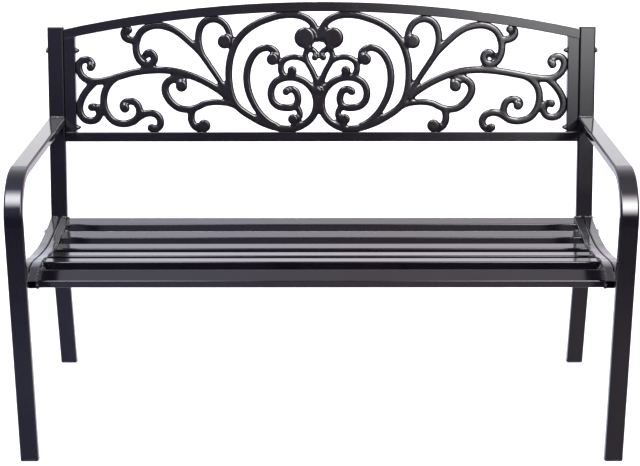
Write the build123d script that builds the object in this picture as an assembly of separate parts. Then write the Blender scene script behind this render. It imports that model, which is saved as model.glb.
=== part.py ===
from build123d import *
import math
import os

os.makedirs("parts", exist_ok=True)

# Garden bench: two bent tube side frames, a slatted seat frame bolted between them,
# and a back panel frame that holds a cast scroll insert, bolted between the rear posts.
# X runs along the bench, -Y is the front, Z is up. All lengths are millimetres.
# Side outlines are drawn with y measured back from the front face of the front legs.

# Side frames
overall_width = 1270.0
leg_width = 38.0
leg_thickness = 19.0
leg_wall = 1.5
leg_corner = 4.0
inner_corner_share = 0.4
arm_corner_height = 612.0
arm_fall_angle = 1.5
arm_bend_radius = 90.0
rear_foot_setback = 528.5
rear_leg_splay = 7.0
post_bend_height = 288.0
post_bend_radius = 80.0
post_recline = 12.0
post_height = 806.0
side_rail_size = 20.0
side_rail_wall = 1.5
side_rail_corner = 2.0

# Plastic plugs at the feet and on the posts
foot_cap_height = 5.0
foot_cap_edge = 1.5
post_cap_height = 3.0
post_cap_edge = 1.2
plug_depth = 16.0
plug_clearance = 0.3

# Seat frame
seat_height = 391.5
seat_dip = 25.0
seat_depth = 420.0
seat_nose_tilt = 20.0
seat_nose_length = 41.0
slat_count = 6
slat_width = 38.0
slat_thickness = 19.0
slat_wall = 1.2
slat_corner = 2.5
rear_slat_gap = 4.8
seat_rail_size = 20.0
seat_rail_wall = 1.5
seat_rail_corner = 2.0
seat_rail_gap = 2.0

# The top line of the seat from the posts forwards: shares of the seat's depth up to
# the nose, and of the dip below the seat's highest line.
seat_line_shares = [
    (0.0, 0.50),
    (0.25, 0.90),
    (0.43, 1.0),
    (0.65, 0.68),
    (0.86, 0.14),
    (0.93, 0.0),
    (1.0, 0.14),
]

# Back panel frame
panel_tube = 22.0
panel_wall = 1.5
panel_corner = 1.5
upright_width = 26.0
panel_base_height = 551.6
panel_crown = 300.6
panel_spring = 243.0

# Cast insert
casting_thickness = 12.0
bar_width = 14.5
slim_bar_width = 12.5
fine_bar_width = 11.0
ball_edge = 2.5

# Each scroll bar of one half of the casting: shares of half the opening's width, out
# from the centre line, and of the opening's height at the centre line, up from below.
main_bar_shares = [
    # side curl, then the long stem that runs in towards the middle
    [(0.940, 0.535), (0.933, 0.565), (0.942, 0.594), (0.961, 0.604), (0.979, 0.590),
     (0.988, 0.555), (0.986, 0.510), (0.974, 0.465), (0.951, 0.432), (0.915, 0.422),
     (0.870, 0.436), (0.820, 0.466), (0.760, 0.499), (0.700, 0.514), (0.645, 0.517),
     (0.590, 0.506), (0.540, 0.479), (0.490, 0.439), (0.440, 0.386), (0.395, 0.325),
     (0.370, 0.280)],
    # round spiral under the stem
    [(0.840, 0.449), (0.864, 0.407), (0.881, 0.350), (0.889, 0.280), (0.886, 0.205),
     (0.872, 0.140), (0.850, 0.092), (0.820, 0.070), (0.787, 0.074), (0.760, 0.100),
     (0.745, 0.148), (0.745, 0.200), (0.758, 0.243), (0.780, 0.259), (0.800, 0.250),
     (0.811, 0.222), (0.806, 0.192)],
    # hook from the spiral to the bottom rail
    [(0.790, 0.075), (0.765, 0.095), (0.742, 0.130), (0.716, 0.155), (0.690, 0.157),
     (0.668, 0.135), (0.658, 0.095), (0.661, 0.052), (0.677, 0.026), (0.697, 0.032)],
    # lower side curl
    [(0.925, 0.415), (0.945, 0.375), (0.965, 0.325), (0.981, 0.265), (0.988, 0.200),
     (0.981, 0.140), (0.963, 0.102), (0.941, 0.093), (0.920, 0.106), (0.908, 0.142),
     (0.909, 0.182), (0.921, 0.208), (0.939, 0.210)],
    # tall hook on the stem, over the top and down to the fan's root
    [(0.713, 0.645), (0.700, 0.662), (0.686, 0.650), (0.679, 0.615), (0.686, 0.580),
     (0.704, 0.563), (0.725, 0.572), (0.742, 0.607), (0.752, 0.660), (0.754, 0.720),
     (0.747, 0.785), (0.730, 0.838), (0.705, 0.870), (0.672, 0.886), (0.638, 0.881),
     (0.605, 0.862), (0.572, 0.823), (0.540, 0.767), (0.512, 0.713), (0.483, 0.650),
     (0.449, 0.552), (0.415, 0.452), (0.388, 0.365), (0.372, 0.310)],
    # leaf loop that ends in a ball
    [(0.470, 0.610), (0.486, 0.680), (0.494, 0.750), (0.493, 0.820), (0.482, 0.885),
     (0.460, 0.925), (0.432, 0.938), (0.404, 0.924), (0.382, 0.887), (0.368, 0.832),
     (0.363, 0.775)],
    # great scroll from the centre ball round to the inner spiral
    [(0.011, 0.775), (0.012, 0.830), (0.020, 0.880), (0.037, 0.924), (0.062, 0.954),
     (0.095, 0.971), (0.130, 0.973), (0.165, 0.964), (0.203, 0.942), (0.249, 0.905),
     (0.290, 0.853), (0.321, 0.793), (0.343, 0.727), (0.358, 0.650), (0.367, 0.570),
     (0.370, 0.480),
     (0.367, 0.390), (0.359, 0.310), (0.346, 0.247), (0.328, 0.200), (0.303, 0.160),
     (0.273, 0.122), (0.243, 0.087), (0.213, 0.062), (0.180, 0.040), (0.146, 0.026),
     (0.113, 0.026), (0.085, 0.040), (0.058, 0.068), (0.036, 0.105), (0.019, 0.155),
     (0.0115, 0.215), (0.012, 0.280), (0.024, 0.345), (0.046, 0.400), (0.078, 0.440),
     (0.115, 0.456), (0.150, 0.447), (0.179, 0.415), (0.194, 0.365), (0.197, 0.310),
     (0.189, 0.255), (0.169, 0.217), (0.142, 0.203), (0.114, 0.204), (0.095, 0.220),
     (0.087, 0.255), (0.088, 0.305), (0.097, 0.342), (0.113, 0.356), (0.128, 0.350),
     (0.136, 0.334)],
    # inner crescent
    [(0.176, 0.610), (0.174, 0.655), (0.191, 0.690), (0.219, 0.700), (0.245, 0.683),
     (0.267, 0.642), (0.283, 0.587), (0.293, 0.520), (0.296, 0.450), (0.293, 0.380),
     (0.284, 0.310), (0.270, 0.245), (0.251, 0.180), (0.229, 0.128), (0.204, 0.085),
     (0.175, 0.055)],
    # low wave from the fan's root out to a curl under the stem
    [(0.344, 0.215), (0.372, 0.238), (0.405, 0.247), (0.440, 0.248), (0.472, 0.236),
     (0.497, 0.212), (0.523, 0.193), (0.550, 0.189), (0.578, 0.204), (0.602, 0.240),
     (0.621, 0.288), (0.631, 0.340), (0.629, 0.390), (0.613, 0.427), (0.589, 0.443),
     (0.568, 0.435), (0.557, 0.412), (0.560, 0.388)],
    # foot that drops from the wave to the bottom rail
    [(0.517, 0.197), (0.526, 0.145), (0.525, 0.095), (0.514, 0.052), (0.495, 0.027)],
    # small curl under the top rail
    [(0.748, 0.768), (0.775, 0.765), (0.796, 0.785), (0.804, 0.815), (0.801, 0.845),
     (0.787, 0.858)],
]
slim_bar_shares = [
    # small curl inside the bottom of the great scroll
    [(0.093, 0.215), (0.083, 0.185), (0.078, 0.150), (0.083, 0.115), (0.095, 0.098)],
    # inner horn that rises from the middle
    [(0.002, 0.365), (0.010, 0.420), (0.021, 0.480), (0.036, 0.540), (0.054, 0.592),
     (0.080, 0.617), (0.108, 0.623), (0.133, 0.611), (0.150, 0.582), (0.156, 0.545),
     (0.155, 0.510), (0.148, 0.478)],
]
fine_bar_shares = [
    # half of the small heart
    [(0.042, 0.558), (0.051, 0.602), (0.055, 0.642), (0.050, 0.673), (0.036, 0.687),
     (0.021, 0.677), (0.013, 0.652), (0.016, 0.622)],
]
# Balls and knobs
centre_ball_radius = 23.5
leaf_ball_radius = 15.0
foot_ball_radius = 14.0
crescent_ball_radius = 12.5
curl_ball_radius = 12.0
knob_radius = 10.0
neck_radius = 8.0
tip_radius = 6.5
ball_place_shares = [
    (0.058, 0.783, centre_ball_radius),
    (0.386, 0.752, leaf_ball_radius),
    (0.474, 0.052, foot_ball_radius),
    (0.190, 0.605, crescent_ball_radius),
    (0.564, 0.383, curl_ball_radius),
    (0.107, 0.107, knob_radius),
    (0.110, 0.511, knob_radius),
    (0.802, 0.195, neck_radius),
    (0.045, 0.703, neck_radius),
    (0.017, 0.620, tip_radius),
]
# The two halves were carved by hand. These are their drifts out and up from the drawing
# above, at stations out from the centre line: the left half's, and the right half's low
# and high in the panel.
drift_station_shares = [0.0, 0.35, 0.50, 0.60, 0.63, 0.66, 0.75, 0.81, 0.88, 1.0]
left_drift_shares = [
    (0.010, 0), (0.008, 0), (0.005, 0), (0.007, 0), (0.006, 0), (0, 0), (0, 0), (0, 0),
    (0, 0), (0, 0),
]
right_low_drift_shares = [
    (-0.010, 0), (-0.013, 0), (-0.017, 0), (-0.020, 0), (-0.020, 0), (0, 0), (0, 0.006),
    (0, 0.024), (0, 0.027), (0, 0.030),
]
right_high_drift_shares = [
    (-0.010, 0), (-0.013, 0), (-0.018, 0), (-0.018, 0), (-0.018, 0), (-0.019, 0),
    (-0.021, 0), (-0.016, 0.005), (0, 0.014), (0, 0.028),
]
drift_low_share = 0.20
drift_high_share = 0.50
casting_drifts = {
    -1: (left_drift_shares, left_drift_shares),
    1: (right_low_drift_shares, right_high_drift_shares),
}

# Fasteners
bolt_diameter = 6.0
bolt_hole_clearance = 0.4
bolt_head_across = 10.0
bolt_head_height = 4.0
washer_diameter = 14.0
washer_thickness = 1.4
nut_across = 10.0
nut_height = 4.0
nut_dome_radius = 4.2
nut_bore_depth = 5.6
nut_bore_clearance = 0.1
fastener_edge = 0.5
panel_bolt_rise_shares = [0.04, 0.68]
# The seat bolts lie in the first and last gaps between slats, counted from the nose.
seat_bolt_gaps = [1, slat_count - 1]

# Distance that cutting bodies run past what they cut
overrun = 30.0

# Worked-out places
half_width = overall_width / 2
leg_inner_face = half_width - leg_width
leg_centre = half_width - leg_width / 2
side_rail_centre = half_width - side_rail_size / 2
seat_rail_outer_face = half_width - side_rail_size - seat_rail_gap
seat_rail_centre = seat_rail_outer_face - seat_rail_size / 2
slat_half_length = seat_rail_outer_face - seat_rail_size
panel_half_width = leg_inner_face
opening_half_width = panel_half_width - upright_width
opening_height = panel_crown - panel_tube
recline = math.radians(post_recline)
splay = math.radians(rear_leg_splay)
arm_fall = math.radians(arm_fall_angle)
nose_tilt = math.radians(seat_nose_tilt)


def post_centre_at(height):
    """Distance back of the post's centre line at a height above the bend."""
    bend_setback = rear_foot_setback - post_bend_height * math.tan(splay)
    return bend_setback + (height - post_bend_height) * math.tan(recline)


def post_front_at(height):
    """Distance back of the post's front face at a height above the bend."""
    return post_centre_at(height) - leg_thickness / 2 / math.cos(recline)


# The bench's depth runs from the front legs to the back edge of the top rail.
crown_top = panel_crown + panel_tube
rounded_off = panel_corner * (math.sin(recline) + math.cos(recline) - 1)
panel_back_reach = crown_top * math.sin(recline) + panel_tube * math.cos(recline) - rounded_off
overall_depth = post_front_at(panel_base_height) + panel_back_reach
centre_setback = overall_depth / 2

panel_plane = Plane(
    origin=(0, post_front_at(panel_base_height) - centre_setback, panel_base_height),
    x_dir=(1, 0, 0),
    z_dir=(0, -math.cos(recline), math.sin(recline)),
)


# Curves


def direction(angle):
    """Unit vector in the drawing plane at an angle in radians."""
    return Vector(math.cos(angle), math.sin(angle))


def angle_between(start, end):
    """Angle of the line from one drawing point to another."""
    return math.atan2(end.Y - start.Y, end.X - start.X)


def shortest_turn(start_angle, end_angle):
    """Turn from one angle to another, within half a turn each way."""
    return math.remainder(end_angle - start_angle, 2 * math.pi)


def headings_along(points, end_angle=None):
    """Heading at each point: the turn there is shared by the lengths of its chords."""
    chords = [angle_between(a, b) for a, b in zip(points, points[1:])]
    lengths = [(b - a).length for a, b in zip(points, points[1:])]
    inner = []
    for i in range(1, len(points) - 1):
        part = lengths[i - 1] / (lengths[i - 1] + lengths[i])
        inner.append(chords[i - 1] + shortest_turn(chords[i - 1], chords[i]) * part)
    beside_first = inner[0] if inner else chords[0]
    beside_last = inner[-1] if inner else chords[-1]
    first = chords[0] - shortest_turn(chords[0], beside_first)
    last = chords[-1] - shortest_turn(chords[-1], beside_last)
    return [first, *inner, last if end_angle is None else end_angle]


def arc_towards(start, heading, end):
    """Arc that leaves a point in a direction and ends at another point."""
    return TangentArc(start, end, tangent=heading)


def two_arcs(start, start_angle, end, end_angle):
    """Two tangent arcs that join two points with their headings."""
    leaving = direction(start_angle)
    arriving = direction(end_angle)
    across = end - start
    both = leaving + arriving
    along = across.dot(both)
    spread = 2 * (1 - leaving.dot(arriving)) * across.dot(across)
    reach = across.dot(across) / (along + math.sqrt(along * along + spread))
    first_corner = start + leaving * reach
    second_corner = end - arriving * reach
    meeting = (first_corner + second_corner) / 2
    crossing = (second_corner - first_corner).normalized()
    return [arc_towards(start, leaving, meeting), arc_towards(meeting, crossing, end)]


def smooth_edges(points, end_angle):
    """Chain of tangent arcs through drawing points, with a heading at the last one."""
    places = [Vector(*point) for point in points]
    headings = headings_along(places, end_angle)
    edges = []
    for i in range(len(places) - 1):
        edges += two_arcs(places[i], headings[i], places[i + 1], headings[i + 1])
    return edges


def edge_beside(edge, distance):
    """Edge at a steady distance to the left of another edge."""
    up = Vector(0, 0, 1)
    places = [edge @ t + up.cross(edge % t) * distance for t in (0, 0.5, 1)]
    if edge.geom_type == GeomType.LINE:
        return Line(places[0], places[2])
    return ThreePointArc(*places)


def bar_face(points, width):
    """Flat bar with round ends, its sides splines beside its middle line."""
    places = [Vector(*point) for point in points]
    headings = headings_along(places)
    aside = [direction(heading + math.pi / 2) * (width / 2) for heading in headings]
    left = [place + step for place, step in zip(places, aside)]
    right = [place - step for place, step in zip(places, aside)]
    start_tip = places[0] - direction(headings[0]) * (width / 2)
    end_tip = places[-1] + direction(headings[-1]) * (width / 2)
    sides = [Spline(*left), Spline(*right)]
    caps = [ThreePointArc(left[0], start_tip, right[0]), ThreePointArc(left[-1], end_tip, right[-1])]
    return make_face([*sides, *caps])


# Tubes


def tube_section(width, height, wall, corner):
    """Rounded rectangular ring."""
    outer = RectangleRounded(width, height, corner)
    inner_corner = corner * inner_corner_share
    return outer - RectangleRounded(width - 2 * wall, height - 2 * wall, inner_corner)


def side_path(edges, across):
    """Path drawn in the side view, placed at a distance across the bench."""
    plane = Plane(origin=(across, -centre_setback, 0), x_dir=(0, 1, 0), z_dir=(1, 0, 0))
    return plane * Wire(edges)


def section_plane(path):
    """Plane at the start of a side path, with its x along the bench."""
    return Plane(origin=path @ 0, x_dir=(1, 0, 0), z_dir=path % 0)


def bent_tube(path, width, thickness, wall, corner):
    """Tube swept along a path in the side view."""
    section = section_plane(path) * tube_section(width, thickness, wall, corner)
    return sweep(section, path=path)


def bent_bar(path, width, thickness, corner):
    """Solid bar swept along a path in the side view."""
    section = section_plane(path) * RectangleRounded(width, thickness, corner)
    return sweep(section, path=path)


def straight_tube(plane, length, width, height, wall, corner):
    """Straight tube with its middle at the plane's origin, along its normal."""
    section = plane * tube_section(width, height, wall, corner)
    return extrude(section, amount=length / 2, both=True)


def bolt_hole(place, length):
    """Cutting body of a bolt hole along the bench, centred at a place."""
    radius = (bolt_diameter + bolt_hole_clearance) / 2
    return Plane(origin=place, z_dir=(1, 0, 0)) * Cylinder(radius, length)


# Side frames


def arm_height_at(setback):
    """Height of the arm's centre line at a distance back."""
    return arm_corner_height - (setback - leg_thickness / 2) * math.tan(arm_fall)


def front_leg_edges():
    """Centre line of the front leg and arm, up to the post's centre line."""
    leg_line = leg_thickness / 2
    end_setback = post_centre_at(arm_height_at(rear_foot_setback))
    points = [
        (leg_line, foot_cap_height),
        (leg_line, arm_corner_height),
        (end_setback, arm_height_at(end_setback)),
    ]
    return FilletPolyline(*points, radius=arm_bend_radius).edges()


def rear_post_edges():
    """Centre line of the rear leg and post, from below the floor to the post's top."""
    points = [
        (rear_foot_setback + overrun * math.tan(splay), -overrun),
        (post_centre_at(post_bend_height), post_bend_height),
        (post_centre_at(post_height), post_height),
    ]
    return FilletPolyline(*points, radius=post_bend_radius).edges()


def rear_post_block():
    """Solid as thick as the posts and wider than the bench, for cutting what butts on them."""
    path = side_path(rear_post_edges(), 0)
    section = section_plane(path) * Rectangle(2 * overall_width, leg_thickness)
    return sweep(section, path=path)


def level_slab(low, high):
    """Large body between two heights."""
    slab = Box(2 * overall_width, 2 * overall_depth, high - low)
    return Pos(0, 0, (low + high) / 2) * slab


def make_arm_front_leg(side):
    """Front leg and armrest in one bent tube."""
    path = side_path(front_leg_edges(), side * leg_centre)
    tube = bent_tube(path, leg_width, leg_thickness, leg_wall, leg_corner)
    return tube - rear_post_block()


def make_rear_post(side):
    """Splayed rear leg and reclined post in one bent tube."""
    path = side_path(rear_post_edges(), side * leg_centre)
    tube = bent_tube(path, leg_width, leg_thickness, leg_wall, leg_corner)
    tube -= level_slab(-2 * overrun, foot_cap_height)
    return tube - panel_bolt_holes()


def foot_line(rear):
    """Straight line of a leg, from below the floor to above its plug."""
    top = foot_cap_height + plug_depth + overrun
    if rear:
        start = (rear_foot_setback + overrun * math.tan(splay), -overrun)
        return Line(start, (rear_foot_setback - top * math.tan(splay), top))
    return Line((leg_thickness / 2, -overrun), (leg_thickness / 2, top))


def make_foot_cap(side, rear):
    """Plastic plug: a visible shoe as wide as the tube and a body inside it."""
    path = side_path([foot_line(rear)], side * leg_centre)
    shoe = bent_bar(path, leg_width, leg_thickness, leg_corner)
    shoe &= level_slab(0, foot_cap_height)
    shoe = chamfer(shoe.faces().sort_by(Axis.Z)[0].edges(), foot_cap_edge)
    shrink = 2 * (leg_wall + plug_clearance)
    inner_corner = leg_corner * inner_corner_share
    body = bent_bar(path, leg_width - shrink, leg_thickness - shrink, inner_corner)
    body &= level_slab(foot_cap_height, foot_cap_height + plug_depth)
    return shoe + body


def make_post_cap(side):
    """Flat plug that closes the top of a post."""
    plane = Plane(
        origin=(side * leg_centre, post_centre_at(post_height) - centre_setback, post_height),
        x_dir=(1, 0, 0),
        z_dir=(0, math.sin(recline), math.cos(recline)),
    )
    cap = extrude(RectangleRounded(leg_width, leg_thickness, leg_corner), amount=post_cap_height)
    cap = chamfer(cap.faces().sort_by(Axis.Z)[-1].edges(), post_cap_edge)
    shrink = 2 * (leg_wall + plug_clearance)
    inner_corner = leg_corner * inner_corner_share
    section = RectangleRounded(leg_width - shrink, leg_thickness - shrink, inner_corner)
    return plane * (cap + extrude(section, amount=-plug_depth))


# Seat


def seat_line_edges(nose_length):
    """Top line of the seat from the posts forwards, ending in the tilted nose."""
    rear = post_front_at(seat_height)
    curve_depth = seat_depth - seat_nose_length * math.cos(nose_tilt)
    points = []
    for depth_share, dip_share in seat_line_shares:
        points.append((rear - depth_share * curve_depth, seat_height - dip_share * seat_dip))
    heading = math.pi + nose_tilt
    edges = smooth_edges(points, heading)
    nose_start = Vector(*points[-1])
    return [*edges, Line(nose_start, nose_start + direction(heading) * nose_length)]


def lowered_path(nose_length, drop, across):
    """Path at a depth under the seat's top line, run back into the posts."""
    edges = seat_line_edges(nose_length)
    start = edges[0] @ 0
    lead_in = Line(start - (edges[0] % 0) * (leg_thickness / 2), start)
    return side_path([edge_beside(edge, drop) for edge in [lead_in, *edges]], across)


def seat_place(from_nose, drop, across):
    """Plane at a length back from the nose, its z along the bench, its y up."""
    path = side_path(seat_line_edges(seat_nose_length), across)
    length = path.length - from_nose
    backward = -path.tangent_at(length, position_mode=PositionMode.LENGTH)
    origin = path.position_at(length, position_mode=PositionMode.LENGTH)
    return Plane(origin=origin, x_dir=backward, z_dir=(1, 0, 0)) * Pos(0, -drop, 0)


def slat_pitch():
    """Distance between slats, spread along the seat from the nose to the rear gap."""
    length = Wire(seat_line_edges(seat_nose_length)).length
    return (length - rear_slat_gap - slat_width) / (slat_count - 1)


def seat_bolt_distances():
    """Lengths back from the nose of the seat bolts."""
    return [slat_width / 2 + (gap - 0.5) * slat_pitch() for gap in seat_bolt_gaps]


def seat_bolt_spots():
    """Depth and height of each seat bolt, on the rails' centre line."""
    spots = []
    for distance in seat_bolt_distances():
        place = seat_place(distance, seat_rail_size / 2, 0).position
        spots.append((place.Y, place.Z))
    return spots


def seat_bolt_holes():
    """Cutting bodies of the seat bolts."""
    return [bolt_hole((0, y, z), 2 * overall_width) for y, z in seat_bolt_spots()]


def make_side_seat_rail(side):
    """Rail of a side frame, from the front leg to the rear post."""
    front_face = leg_thickness
    nose_start = post_front_at(seat_height) - seat_depth
    nose_length = seat_nose_length + (nose_start - front_face) / math.cos(nose_tilt) + side_rail_size
    path = lowered_path(nose_length, side_rail_size / 2, side * side_rail_centre)
    rail = bent_tube(path, side_rail_size, side_rail_size, side_rail_wall, side_rail_corner)
    rail -= rear_post_block()
    in_front = Box(2 * overall_width, overall_depth, 2 * seat_height)
    rail -= Pos(0, front_face - centre_setback - overall_depth / 2, seat_height) * in_front
    return rail - seat_bolt_holes()


def make_seat_end_rail(side):
    """Curved rail that carries the ends of the slats."""
    path = lowered_path(seat_nose_length, seat_rail_size / 2, side * seat_rail_centre)
    rail = bent_tube(path, seat_rail_size, seat_rail_size, seat_rail_wall, seat_rail_corner)
    return rail - rear_post_block() - seat_bolt_holes()


def make_slat(number):
    """Flat tube across the seat: number one is at the back."""
    from_nose = slat_width / 2 + (slat_count - number) * slat_pitch()
    place = seat_place(from_nose, slat_thickness / 2, 0)
    section = tube_section(slat_width, slat_thickness, slat_wall, slat_corner)
    return place * extrude(section, amount=slat_half_length, both=True)


# Back panel, drawn flat with y up the slope and z towards the front


def arch_radius():
    """Radius of the top rail's underside."""
    rise = panel_crown - panel_spring
    return (opening_half_width**2 + rise**2) / (2 * rise)


def arch_centre():
    """Centre of the top rail's arc in the panel's drawing."""
    return Pos(0, panel_crown - arch_radius(), 0)


def panel_bolt_spots():
    """Depth and height of each panel bolt."""
    spots = []
    for share in panel_bolt_rise_shares:
        rise = panel_tube + share * opening_height
        place = panel_plane.from_local_coords((0, rise, -leg_thickness / 2))
        spots.append((place.Y, place.Z))
    return spots


def panel_bolt_holes():
    """Cutting bodies of the panel bolts."""
    return [bolt_hole((0, y, z), 2 * overall_width) for y, z in panel_bolt_spots()]


def make_back_top_rail():
    """Arched square tube over the panel, as wide as the panel."""
    radius = arch_radius() + panel_tube / 2
    lean = math.asin((panel_half_width + overrun) / radius)
    side_x, side_y = radius * math.sin(lean), radius * math.cos(lean)
    arc = ThreePointArc((-side_x, side_y), (0, radius), (side_x, side_y))
    start = Plane(origin=arc @ 0, x_dir=(0, 0, 1), z_dir=arc % 0)
    rail = sweep(start * tube_section(panel_tube, panel_tube, panel_wall, panel_corner), path=arc)
    rail = arch_centre() * Pos(0, 0, -panel_tube / 2) * rail
    return panel_plane * (rail & Box(2 * panel_half_width, 2 * panel_crown + 2 * overrun, overrun * 2))


def make_back_bottom_rail():
    """Straight square tube under the panel."""
    plane = Plane(origin=(0, panel_tube / 2, -panel_tube / 2), x_dir=(0, 1, 0), z_dir=(1, 0, 0))
    length = 2 * panel_half_width
    return panel_plane * straight_tube(plane, length, panel_tube, panel_tube, panel_wall, panel_corner)


def make_back_upright(side):
    """Square tube between the panel's rails, shaped to the arch."""
    across = side * (panel_half_width - upright_width / 2)
    plane = Plane(origin=(across, panel_tube, -panel_tube / 2), x_dir=(1, 0, 0), z_dir=(0, 1, 0))
    section = plane * tube_section(upright_width, panel_tube, panel_wall, panel_corner)
    tube = extrude(section, amount=panel_crown)
    tube &= arch_centre() * Cylinder(arch_radius(), 2 * overrun)
    return panel_plane * tube - panel_bolt_holes()


def drift_at(drift_shares, across_share):
    """Drift out and up at a share out from the centre line, between two stations."""
    stations = drift_station_shares
    first = max(i for i in range(len(stations) - 1) if stations[i] <= across_share)
    part = (across_share - stations[first]) / (stations[first + 1] - stations[first])
    near, far = Vector(*drift_shares[first]), Vector(*drift_shares[first + 1])
    return near + (far - near) * part


def casting_place(side, across_share, up_share):
    """Drawing point of one half of the casting from its shares, with the half's drift."""
    low, high = (drift_at(shares, across_share) for shares in casting_drifts[side])
    height = (up_share - drift_low_share) / (drift_high_share - drift_low_share)
    drift = low + (high - low) * min(max(height, 0), 1)
    out, up = across_share + drift.X, up_share + drift.Y
    return (side * out * opening_half_width, panel_tube + up * opening_height)


def bar_faces(side):
    """Flat faces of every bar of one half."""
    faces = []
    groups = [
        (main_bar_shares, bar_width),
        (slim_bar_shares, slim_bar_width),
        (fine_bar_shares, fine_bar_width),
    ]
    for bars, width in groups:
        for bar in bars:
            faces.append(bar_face([casting_place(side, *shares) for shares in bar], width))
    return faces


def ball_faces(side, trim):
    """Discs of every ball of one half, each drawn in by a trim."""
    faces = []
    for across, up, radius in ball_place_shares:
        faces.append(Pos(*casting_place(side, across, up)) * Circle(radius - trim))
    return faces


def make_scroll_casting():
    """Cast scrolls inside the panel's opening, with prouder balls, in one piece."""
    opening = Pos(0, panel_tube + panel_crown / 2) * Rectangle(2 * opening_half_width, panel_crown)
    opening &= arch_centre() * Circle(arch_radius())
    halves = [Sketch() + [*bar_faces(side), *ball_faces(side, 0)] for side in (-1, 1)]
    plate = extrude((halves[0] + halves[1]) & opening, amount=casting_thickness / 2, both=True)
    balls = (Sketch() + [*ball_faces(-1, ball_edge), *ball_faces(1, ball_edge)]) & opening
    bosses = extrude(balls, amount=casting_thickness / 2 + ball_edge, both=True)
    return panel_plane * (Pos(0, 0, -panel_tube / 2) * (plate + bosses))


# Fasteners, drawn along z with the outer face of the side frame at zero


def hexagon(across):
    """Hexagon of a width across its flats."""
    return RegularPolygon(radius=across / 2, side_count=6, major_radius=False)


def make_bolt(grip):
    """Hexagon bolt whose tip ends in the cap nut."""
    head = extrude(hexagon(bolt_head_across), amount=-bolt_head_height)
    head = chamfer(head.faces().sort_by(Axis.Z)[0].edges(), fastener_edge)
    shank = extrude(Circle(bolt_diameter / 2), amount=grip + 2 * washer_thickness + nut_height)
    shank = chamfer(shank.faces().sort_by(Axis.Z)[-1].edges(), fastener_edge)
    return Pos(0, 0, -washer_thickness) * (head + shank)


def make_washer(thickness):
    """Flat washer standing on zero."""
    bore = (bolt_diameter + bolt_hole_clearance) / 2
    return extrude(Circle(washer_diameter / 2) - Circle(bore), amount=thickness)


def make_cap_nut():
    """Hexagon nut with a domed end and a blind bore, standing on zero."""
    nut = extrude(hexagon(nut_across), amount=nut_height)
    nut += Pos(0, 0, nut_height) * Sphere(nut_dome_radius)
    bore = Cylinder((bolt_diameter + nut_bore_clearance) / 2, 2 * nut_bore_depth)
    return nut - bore


def fastener_planes(spots):
    """Planes on the outer faces of both side frames at fastener spots, z inwards."""
    planes = []
    for side in (-1, 1):
        for y, z in spots:
            place = (side * half_width, y, z)
            planes.append(Plane(origin=place, x_dir=(0, 1, 0), z_dir=(-side, 0, 0)))
    return planes


def fastener_sets(spots, grip):
    """Bolts, washers and nuts at spots of both sides of the bench."""
    bolts, washers, nuts = [], [], []
    for plane in fastener_planes(spots):
        bolts.append(plane * make_bolt(grip))
        washers.append(plane * Pos(0, 0, -washer_thickness) * make_washer(washer_thickness))
        washers.append(plane * Pos(0, 0, grip) * make_washer(washer_thickness))
        nuts.append(plane * Pos(0, 0, grip + washer_thickness) * make_cap_nut())
    return bolts, washers, nuts


def make_seat_spacers():
    """Rings that keep the seat's end rails off the side rails."""
    seat = Pos(0, 0, side_rail_size)
    return [plane * seat * make_washer(seat_rail_gap) for plane in fastener_planes(seat_bolt_spots())]


# Write the parts


def save(name, *solids):
    """Write one node: a single solid or a group of separate solids."""
    shape = solids[0] if len(solids) == 1 else Compound(children=list(solids))
    export_step(shape, f"parts/{name}.step")


for side, word in ((-1, "left"), (1, "right")):
    save(f"arm_front_leg_{word}", make_arm_front_leg(side))
    save(f"rear_post_{word}", make_rear_post(side))
    save(f"side_seat_rail_{word}", make_side_seat_rail(side))
    save(f"front_foot_cap_{word}", make_foot_cap(side, rear=False))
    save(f"rear_foot_cap_{word}", make_foot_cap(side, rear=True))
    save(f"post_top_cap_{word}", make_post_cap(side))
    save(f"seat_end_rail_{word}", make_seat_end_rail(side))
    save(f"back_upright_{word}", make_back_upright(side))

for number in range(1, slat_count + 1):
    save(f"seat_slat_{number}", make_slat(number))

save("back_top_rail", make_back_top_rail())
save("back_bottom_rail", make_back_bottom_rail())
save("scroll_casting", make_scroll_casting())

save("seat_spacers", *make_seat_spacers())

seat_fasteners = fastener_sets(seat_bolt_spots(), side_rail_size + seat_rail_gap + seat_rail_size)
panel_fasteners = fastener_sets(panel_bolt_spots(), leg_width + upright_width)
for word, fasteners in (("seat", seat_fasteners), ("panel", panel_fasteners)):
    for kind, solids in zip(("bolts", "washers", "cap_nuts"), fasteners):
        save(f"{word}_{kind}", *solids)

print("slat pitch", round(slat_pitch(), 2))
print("overall depth", round(overall_depth, 1))
print("overall height", round(panel_base_height + crown_top * math.cos(recline), 1))
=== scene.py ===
import logging
import math
from dataclasses import dataclass
from enum import Enum

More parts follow.
